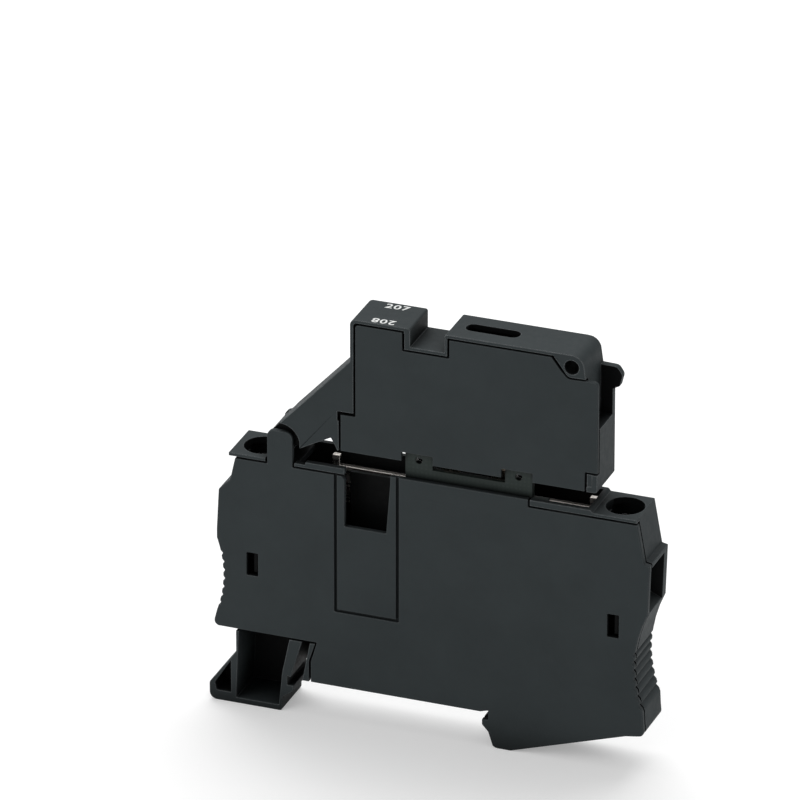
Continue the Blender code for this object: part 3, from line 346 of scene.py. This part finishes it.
# %% Make the laminate
def laminate(name):
    """Dark resin over a weave, with paler cut edges, and painted shade in its holes and notches."""
    material, shader, add, feed = start(name)
    where = add("TexCoord").outputs["Object"]
    threads = {"Vector": where, "Scale": 420.0, "Distortion": 0.6}
    along = add("TexWave", threads, bands_direction="X").outputs["Fac"]
    across = add("TexWave", threads, bands_direction="Z").outputs["Fac"]
    weave = compute(add, "MULTIPLY", along, across)
    colour = ramp(add, weave, [(0.1, (0.021, 0.030, 0.027)), (0.9, (0.027, 0.037, 0.033))])
    soft, edges = rounded_normal(add, 0.15 * MM)
    edged = blend(add, edges, colour, (0.11, 0.125, 0.115))
    # Painted shade: ambient occlusion darkens the colour in the plate's holes and notches.
    feed("Base Color", blend(add, painted_depth_shade(add, 3.0 * MM), PAINTED_SHADE_BLACK, edged))
    cloud = noise(add, where, 300.0, 3.0)
    feed("Roughness", ramp(add, cloud, [(0.3, 0.42), (0.7, 0.54)]))
    shader.inputs["Specular IOR Level"].default_value = 0.2
    bump = add("Bump", {"Height": weave, "Strength": 0.12, "Distance": 0.01 * MM, "Normal": soft})
    feed("Normal", bump.outputs["Normal"])
    return material


paint("contact_plate", laminate("green_black_plate"))
print("laminate on the contact plate")

# %% [markdown]
# ## Metals
#
# Sheet parts are stamped and plated. Rolling leaves fine lines along the strip, and plating
# leaves small clouds of duller metal. One recipe with its own colour, roughness and line
# direction covers all of them.

# %% Make the plated metals
GLOSS_SPREAD = 0.12


def plated(name, colour, roughness, stretch=(1.0, 1.0, 1.0)):
    """Bright metal; a small stretch along an axis draws the fine lines out that way."""
    material, shader, add, feed = start(name)
    where = add("TexCoord").outputs["Object"]
    pulled = add("Mapping", {"Vector": where, "Scale": stretch}).outputs["Vector"]
    lines = noise(add, pulled, 2500.0, 3.0)
    cloud = noise(add, where, 420.0, 4.0)
    dull = tuple(c * 0.78 for c in colour)
    feed("Base Color", ramp(add, cloud, [(0.35, dull), (0.65, colour)]))
    smooth, rough = roughness - GLOSS_SPREAD / 2, roughness + GLOSS_SPREAD
    feed("Roughness", ramp(add, lines, [(0.3, smooth), (0.7, rough)]))
    bump = add("Bump", {"Height": lines, "Strength": 0.25, "Distance": 0.01 * MM})
    feed("Normal", bump.outputs["Normal"])
    shader.inputs["Metallic"].default_value = 1.0
    return material


silver = plated("silvered_spring", (0.72, 0.62, 0.50), 0.24, stretch=(1.0, 1.0, 0.06))
tinned = plated("tinned_copper", (0.70, 0.66, 0.62), 0.28, stretch=(0.05, 1.0, 1.0))
steel = plated("plated_steel", (0.56, 0.56, 0.53), 0.34, stretch=(1.0, 0.08, 1.0))
zinc = plated("bright_zinc", (0.62, 0.63, 0.65), 0.26)
nickel = plated("nickel_cap", (0.63, 0.60, 0.55), 0.18, stretch=(1.0, 0.1, 0.1))
wire = plated("fuse_wire", (0.75, 0.73, 0.70), 0.3)
METALS = {"fuse_clip": silver, "plug_fork": silver, "current_bar": tinned, "clamp_cage": steel,
          "clamp_screw": zinc, "fuse_cap": nickel}
for part, metal in METALS.items():
    for end in ("left", "right"):
        paint(f"{end}_{part}", metal)
paint("fuse_wire", wire)
print("six metals on", 2 * len(METALS) + 1, "pieces")

# %% [markdown]
# ## Glass, lamp, board and resistor
#
# These sit inside the lever. The tube is clear drawn glass, the lamp is tinted resin, the board
# has a green lacquer over copper, and the resistor is a lacquered ceramic bead.

# %% Make the fuse glass and the indicator finishes
BANDS = [(0.16, 0.04, 0.02), (0.01, 0.01, 0.01), (0.60, 0.16, 0.02), (0.45, 0.30, 0.08)]
BAND_HALF = 0.24


def clear(name, colour, roughness, ior):
    """Glass or resin that light passes through."""
    material, shader, add, feed = start(name)
    where = add("TexCoord").outputs["Object"]
    streak = noise(add, where, 600.0, 2.0)
    feed("Roughness", ramp(add, streak, [(0.3, roughness), (0.8, roughness + 0.05)]))
    shader.inputs["Base Color"].default_value = (*colour, 1.0)
    shader.inputs["IOR"].default_value = ior
    shader.inputs["Transmission Weight"].default_value = 1.0
    return material


def lacquer(name, dark, pale, roughness):
    """A coat whose colour and gloss drift in small clouds."""
    material, _, add, feed = start(name)
    where = add("TexCoord").outputs["Object"]
    cloud = noise(add, where, 700.0, 4.0)
    feed("Base Color", ramp(add, cloud, [(0.35, dark), (0.65, pale)]))
    feed("Roughness", ramp(add, cloud, [(0.3, roughness), (0.7, roughness + 0.12)]))
    return material


def banded(name, body):
    """Lacquered body with painted rings, placed by how far along X they stand."""
    material, _, add, feed = start(name)
    where = add("TexCoord").outputs["Object"]
    along = add("SeparateXYZ", {"Vector": where}).outputs["X"]
    colour = body
    low, high = (c.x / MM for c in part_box("indicator_resistor"))
    for i, band in enumerate(BANDS):
        spot = low + (high - low) * (0.24 + 0.17 * i)
        colour = blend(add, narrow(add, along, spot * MM, BAND_HALF * MM), colour, band)
    feed("Base Color", colour)
    cloud = noise(add, where, 700.0, 4.0)
    feed("Roughness", ramp(add, cloud, [(0.3, 0.26), (0.7, 0.40)]))
    return material


paint("fuse_tube", clear("clear_glass", (0.96, 0.98, 0.98), 0.01, 1.47))
paint("indicator_lamp", clear("red_lamp", (0.62, 0.03, 0.02), 0.12, 1.5))
paint("indicator_board", lacquer("green_board", (0.012, 0.060, 0.030), (0.022, 0.110, 0.055), 0.25))
paint("indicator_resistor", banded("resistor_body", (0.30, 0.44, 0.53)))
print("clear and lacquered finishes")

# %% [markdown]
# ## Smooth shading
#
# The solids come as triangles. Where a form bends gently, such as round a pin, the eye should
# see no facets, but a real corner has to stay one. A small node group does it: it smooths every
# face and then marks as sharp each edge that bends by more than a limit.

# %% Smooth what bends gently
def make_smoother(limit):
    """Node group: faces shade smooth, except over edges sharper than the limit."""
    group = bpy.data.node_groups.new("smooth_gentle_edges", "GeometryNodeTree")
    group.interface.new_socket("Geometry", in_out="INPUT", socket_type="NodeSocketGeometry")
    group.interface.new_socket("Geometry", in_out="OUTPUT", socket_type="NodeSocketGeometry")
    entry, leave = group.nodes.new("NodeGroupInput"), group.nodes.new("NodeGroupOutput")
    faces = group.nodes.new("GeometryNodeSetShadeSmooth")
    sharp = group.nodes.new("GeometryNodeSetShadeSmooth")
    sharp.domain = "EDGE"
    sharp.inputs["Shade Smooth"].default_value = False
    angle = group.nodes.new("GeometryNodeInputMeshEdgeAngle")
    steep = group.nodes.new("FunctionNodeCompare")
    steep.inputs["B"].default_value = limit
    for output, socket in ((entry.outputs[0], faces.inputs["Geometry"]),
                           (faces.outputs["Geometry"], sharp.inputs["Geometry"]),
                           (angle.outputs["Unsigned Angle"], steep.inputs["A"]),
                           (steep.outputs["Result"], sharp.inputs["Selection"]),
                           (sharp.outputs["Geometry"], leave.inputs[0])):
        group.links.new(output, socket)
    return group


smoother = make_smoother(math.radians(50))
print("smoother has", len(smoother.nodes), "nodes")

# %% [markdown]
# ## Softer edges
#
# A mould can't make a knife edge, and neither can a stamping tool. So each piece is welded, its
# flat ground is joined into whole faces, and then its edges get a narrow bevel. Whole faces
# matter: a bevel that meets a thin triangle throws a spike. Weighted normals keep flat ground
# flat. Widths are in millimetres, and thin stamped parts get the narrow ones.

# %% Round the edges
WELD_GAP = 0.002 * MM
FLAT_WITHIN = math.radians(0.3)
EDGE_FROM = math.radians(35)


def soften(obj, width):
    """A bevel on every real edge, and smooth shading that keeps flat ground flat."""
    obj.modifiers.new("Weld", "WELD").merge_threshold = WELD_GAP
    whole = obj.modifiers.new("Whole faces", "DECIMATE")
    whole.decimate_type = "DISSOLVE"
    whole.angle_limit = FLAT_WITHIN
    bevel = obj.modifiers.new("Bevel", "BEVEL")
    bevel.width = width * MM
    bevel.segments = 2
    bevel.limit_method = "ANGLE"
    bevel.angle_limit = EDGE_FROM
    bevel.use_clamp_overlap = False
    obj.modifiers.new("Smooth", "NODES").node_group = smoother
    obj.modifiers.new("Flat ground", "WEIGHTED_NORMAL").keep_sharp = True


BEVELS = {
    "housing": 0.10, "side_cover": 0.15, "lever_body": 0.08, "lever_cover": 0.15,
    "contact_plate": 0.10, "left_current_bar": 0.10, "right_current_bar": 0.10,
    "left_fuse_clip": 0.08, "right_fuse_clip": 0.08, "left_plug_fork": 0.08,
    "right_plug_fork": 0.08, "left_clamp_cage": 0.08, "right_clamp_cage": 0.08,
    "indicator_board": 0.04,
}
for name, width in BEVELS.items():
    soften(nodes[name], width)
print("bevels on", len(BEVELS), "pieces")

# %% [markdown]
# ## Leads of the indicator
#
# The small board holds a lamp and its resistor, and both hang on bent tinned wires. A lead is a
# curve with a round bevel, and short arcs stand in for the bends that pliers leave. Each wire
# starts a little inside its part and ends a little inside the board, so no gap shows.

# %% Bend the leads
BEND_STEPS = 5
LEAD_RADIUS = 0.22
LEAD_OUT = 0.75
LEAD_SPREAD = 0.65
SUNK = 0.1


def rounded_path(points, bend):
    """The points with each inner corner replaced by a short arc."""
    path = [points[0]]
    for before, corner, after in zip(points, points[1:], points[2:]):
        start_bend = corner + (before - corner).normalized() * bend
        end_bend = corner + (after - corner).normalized() * bend
        for step in range(BEND_STEPS + 1):
            t = step / BEND_STEPS
            path.append(start_bend.lerp(corner, t).lerp(corner.lerp(end_bend, t), t))
    return path + [points[-1]]


def lead(name, points, material):
    """A round wire through points in mm, with a few turns at each bend."""
    curve = bpy.data.curves.new(name, "CURVE")
    curve.dimensions = "3D"
    curve.bevel_depth = LEAD_RADIUS * MM
    curve.bevel_resolution = 3
    curve.use_fill_caps = True
    line = curve.splines.new("POLY")
    path = rounded_path([Vector(point) for point in points], 3 * LEAD_RADIUS)
    line.points.add(len(path) - 1)
    for slot, point in zip(line.points, path):
        slot.co = (*(point * MM), 1.0)
    wire_piece = bpy.data.objects.new(name, curve)
    curve.materials.append(material)
    bpy.context.scene.collection.objects.link(wire_piece)
    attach(wire_piece, "lever")


def box_mm(name):
    """Both corners of a node's box, in mm."""
    low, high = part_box(name)
    return low / MM, high / MM


board_low, board_high = box_mm("indicator_board")
lamp_low, lamp_high = box_mm("indicator_lamp")
resistor_low, resistor_high = box_mm("indicator_resistor")
board_front = board_low.y
lamp_mid = (lamp_low + lamp_high) / 2
resistor_mid = (resistor_low + resistor_high) / 2
lead_metal = plated("tinned_wire", (0.66, 0.65, 0.62), 0.26)
solder_spots = []
for side, name in ((-1, "left"), (1, "right")):
    x = lamp_mid.x + side * LEAD_SPREAD
    z = lamp_low.z - LEAD_OUT
    lead(f"lamp_lead_{name}",
         [(x, lamp_mid.y, lamp_low.z + 0.3), (x, lamp_mid.y, z), (x, board_front + SUNK, z)],
         lead_metal)
    solder_spots.append((x, z))
for side, name in ((-1, "left"), (1, "right")):
    end_x = resistor_low.x if side < 0 else resistor_high.x
    x, z = end_x + side * LEAD_OUT, resistor_mid.z
    lead(f"resistor_lead_{name}",
         [(end_x - side * 0.2, resistor_mid.y, z), (x, resistor_mid.y, z),
          (x, board_front + SUNK, z)],
         lead_metal)
    solder_spots.append((x, z))
print("solder spots in mm:", [(round(x, 1), round(z, 1)) for x, z in solder_spots])

# %% [markdown]
# ## Tracks and solder
#
# The leads end on copper tracks. A track is a ribbon with mitred corners, raised by the
# thickness of the copper. A solder joint is a hollow cone, made of rings as if turned on a
# lathe: the molten metal climbs up the wire.

# %% Lay the tracks and solder the joints
TRACK_WIDTH = 0.55
COPPER = 0.05
TRACK_BED = 0.01
SHARPEST_MITRE = 0.3
CONE = ((0.62, 0.0), (0.50, 0.10), (0.36, 0.26), (0.27, 0.48), (0.12, 0.58))
CONE_SIDES = 16


def join_loops(work, lower, upper):
    """Side faces between two loops of points that run the same way round."""
    for k in range(len(lower)):
        after = (k + 1) % len(lower)
        work.faces.new((lower[k], lower[after], upper[after], upper[k]))


def ribbon(work, points, front):
    """A flat strip in the plane of the board, through points (x, z) in mm."""
    path = [Vector(point) for point in points]
    left_side, right_side = [], []
    for i, point in enumerate(path):
        before = (point - path[i - 1]).normalized() if i else (path[1] - point).normalized()
        after = (path[i + 1] - point).normalized() if i + 1 < len(path) else before
        across = Vector((-(before + after).y, (before + after).x)).normalized()
        mitre = max(across.dot(Vector((-before.y, before.x))), SHARPEST_MITRE)
        reach = TRACK_WIDTH / 2 / mitre
        left_side.append(point + across * reach)
        right_side.append(point - across * reach)
    foot = [work.verts.new(Vector((p.x, front, p.y)) * MM) for p in left_side + right_side[::-1]]
    top = [work.verts.new((point.co.x, point.co.y - COPPER * MM, point.co.z)) for point in foot]
    work.faces.new(foot)
    work.faces.new(top[::-1])
    join_loops(work, foot, top)


def solder_cone(work, x, z, front):
    """A closed cone that stands on the board; CONE lists its (radius, height) in mm."""
    rings = []
    for radius, height in CONE:
        angles = [2 * math.pi * k / CONE_SIDES for k in range(CONE_SIDES)]
        rings.append([work.verts.new(Vector((x + radius * math.cos(angle), front - height,
                                             z + radius * math.sin(angle))) * MM)
                      for angle in angles])
    for lower, upper in zip(rings, rings[1:]):
        join_loops(work, lower, upper)
    work.faces.new(rings[0])
    work.faces.new(rings[-1][::-1])


def finish_piece(name, work, material, body):
    """Turns the work into a piece that moves with a body."""
    bmesh.ops.recalc_face_normals(work, faces=work.faces)
    mesh = bpy.data.meshes.new(name)
    work.to_mesh(mesh)
    work.free()
    mesh.materials.append(material)
    piece = bpy.data.objects.new(name, mesh)
    bpy.context.scene.collection.objects.link(piece)
    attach(piece, body)


copper = plated("track_copper", (0.74, 0.44, 0.28), 0.30)
bright_solder = plated("solder_tin", (0.70, 0.70, 0.69), 0.20)
lamp_left, lamp_right, resistor_left, resistor_right = solder_spots
bend_x = (resistor_right[0] + lamp_left[0]) / 2
leave_x, leave_z = lamp_right
tracks = [
    [resistor_right, (bend_x, resistor_right[1] - 0.35), (bend_x + 0.3, lamp_left[1]), lamp_left],
    [lamp_right, (leave_x + 1.2, leave_z), (leave_x + 2.2, leave_z + 1.0),
     (leave_x + 2.2, board_high.z - 1.0)],
    [resistor_left, (resistor_left[0], board_low.z + 0.7)],
]
for i, points in enumerate(tracks):
    strip = bmesh.new()
    ribbon(strip, points, board_front + TRACK_BED)
    finish_piece(f"board_track_{i + 1}", strip, copper, "lever")
joints = bmesh.new()
for x, z in solder_spots:
    solder_cone(joints, x, z, board_front + TRACK_BED)
finish_piece("board_solder", joints, bright_solder, "lever")
print(len(tracks), "tracks and", len(solder_spots), "solder joints, board face at Y",
      round(board_front, 2), "mm")

# %% [markdown]
# ## Printed numbers
#
# The top of the lever carries two rows of white print, one facing each way so that it reads from
# both sides of a cabinet. Plain numbers stand here. Pad printing lays down a skin of ink a few
# hundredths of a millimetre thick, so the numbers are real text, turned into thin meshes.

# %% Print the numbers
INK_HEIGHT = 2.15
INK_BOLD = 0.03
INK_WIDEN = 1.2
INK_SPACING = 1.1
INK_SKIN = 0.03
INK_SUNK = 0.004


def make_ink():
    """White ink that lets a little of the black through where it lies thin."""
    material, _, add, feed = start("white_ink")
    where = add("TexCoord").outputs["Object"]
    thin = noise(add, where, 2600.0, 3.0)
    feed("Base Color", ramp(add, thin, [(0.30, (0.42, 0.43, 0.43)), (0.48, (0.80, 0.81, 0.80))]))
    feed("Roughness", ramp(add, thin, [(0.3, 0.5), (0.7, 0.7)]))
    return material


def print_number(name, digits, x, y, turned):
    """Raised text on the lever's top, its middle at (x, y) in mm."""
    words = bpy.data.curves.new(name, "FONT")
    words.body = digits
    words.size = INK_HEIGHT * MM
    words.align_x = "CENTER"
    words.align_y = "CENTER"
    words.offset = INK_BOLD * MM
    words.space_character = INK_SPACING
    words.extrude = INK_SKIN * MM / 2
    words.resolution_u = 6
    holder = bpy.data.objects.new(name + "_text", words)
    mesh = bpy.data.meshes.new_from_object(holder)
    bpy.data.objects.remove(holder)
    mesh.name = name
    mesh.transform(Matrix.Diagonal((INK_WIDEN, 1.0, 1.0, 1.0)))
    mesh.materials.clear()
    mesh.materials.append(ink)
    number = bpy.data.objects.new(name, mesh)
    number.rotation_euler.z = math.pi if turned else 0.0
    number.location = Vector((x, y, lever_top + INK_SKIN / 2 - INK_SUNK)) * MM
    bpy.context.scene.collection.objects.link(number)
    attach(number, "lever")


ink = make_ink()
lever_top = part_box("lever_body")[1].z / MM
print_number("ink_number_front", "208", -1.1, -3.0, True)
print_number("ink_number_back", "207", -0.9, 2.7, False)
print("numbers on the lever's top at", round(lever_top, 2), "mm")

# %% [markdown]
# ## Floor, world and lamps
#
# The block stands on a white table with no horizon. A big disc serves as the table, and the
# world is white to the camera. A large soft lamp hangs above and behind, which lays a veil on
# the tops, and a weaker one fills the front.

# %% Build the studio
FLOOR_Z = cad_low.z
FLOOR_GAP = 0.00002
TABLE_RADIUS = 12.0
TABLE_LIFT = 0.30
WORLD_LIGHT = 0.45
LAMP_AIM = Vector((0.0, 0.0, 0.03))


def make_floor():
    """A white disc that lifts itself a little where it is seen, also in metal and glass."""
    work = bmesh.new()
    bmesh.ops.create_circle(work, cap_ends=True, segments=96, radius=TABLE_RADIUS)
    mesh = bpy.data.meshes.new("floor")
    work.to_mesh(mesh)
    work.free()
    floor = bpy.data.objects.new("floor", mesh)
    floor.location.z = FLOOR_Z - FLOOR_GAP
    bpy.context.scene.collection.objects.link(floor)
    material, shader, add, feed = start("table_white")
    rays = add("LightPath").outputs
    seen = compute(add, "MAXIMUM", rays["Is Camera Ray"], rays["Is Glossy Ray"])
    seen_through = compute(add, "MAXIMUM", seen, rays["Is Transmission Ray"])
    shader.inputs["Base Color"].default_value = (0.80, 0.80, 0.80, 1.0)
    shader.inputs["Roughness"].default_value = 0.9
    shader.inputs["Specular IOR Level"].default_value = 0.0
    shader.inputs["Emission Color"].default_value = (1.0, 1.0, 1.0, 1.0)
    feed("Emission Strength", compute(add, "MULTIPLY", seen_through, TABLE_LIFT))
    mesh.materials.append(material)


def make_world():
    """A white world, dimmer as a light than it looks to the camera."""
    world = bpy.data.worlds.new("studio")
    bpy.context.scene.world = world
    world.use_nodes = True
    tree = world.node_tree
    back = tree.nodes["Background"]
    rays = tree.nodes.new("ShaderNodeLightPath")
    pick = tree.nodes.new("ShaderNodeMapRange")
    pick.inputs["To Min"].default_value = WORLD_LIGHT
    pick.inputs["To Max"].default_value = 1.0
    tree.links.new(rays.outputs["Is Camera Ray"], pick.inputs["Value"])
    tree.links.new(pick.outputs["Result"], back.inputs["Strength"])
    back.inputs["Color"].default_value = (1.0, 1.0, 1.0, 1.0)


def lamp(name, spot, size, power):
    """A soft lamp of a given size in metres, aimed at the middle of the block."""
    light = bpy.data.lights.new(name, "AREA")
    light.shape = "RECTANGLE"
    light.size, light.size_y = size
    light.energy = power
    obj = bpy.data.objects.new(name, light)
    obj.location = spot
    obj.rotation_mode = "QUATERNION"
    obj.rotation_quaternion = (Vector(spot) - LAMP_AIM).to_track_quat("Z", "Y")
    bpy.context.scene.collection.objects.link(obj)


make_floor()
make_world()
lamp("top_lamp", (-0.15, 0.55, 1.0), (1.3, 0.9), 10.0)
lamp("front_lamp", (-0.7, -0.9, 0.7), (0.8, 0.8), 4.0)
bpy.context.scene.view_settings.view_transform = "Standard"
print("floor at", round(FLOOR_Z / MM, 2), "mm")
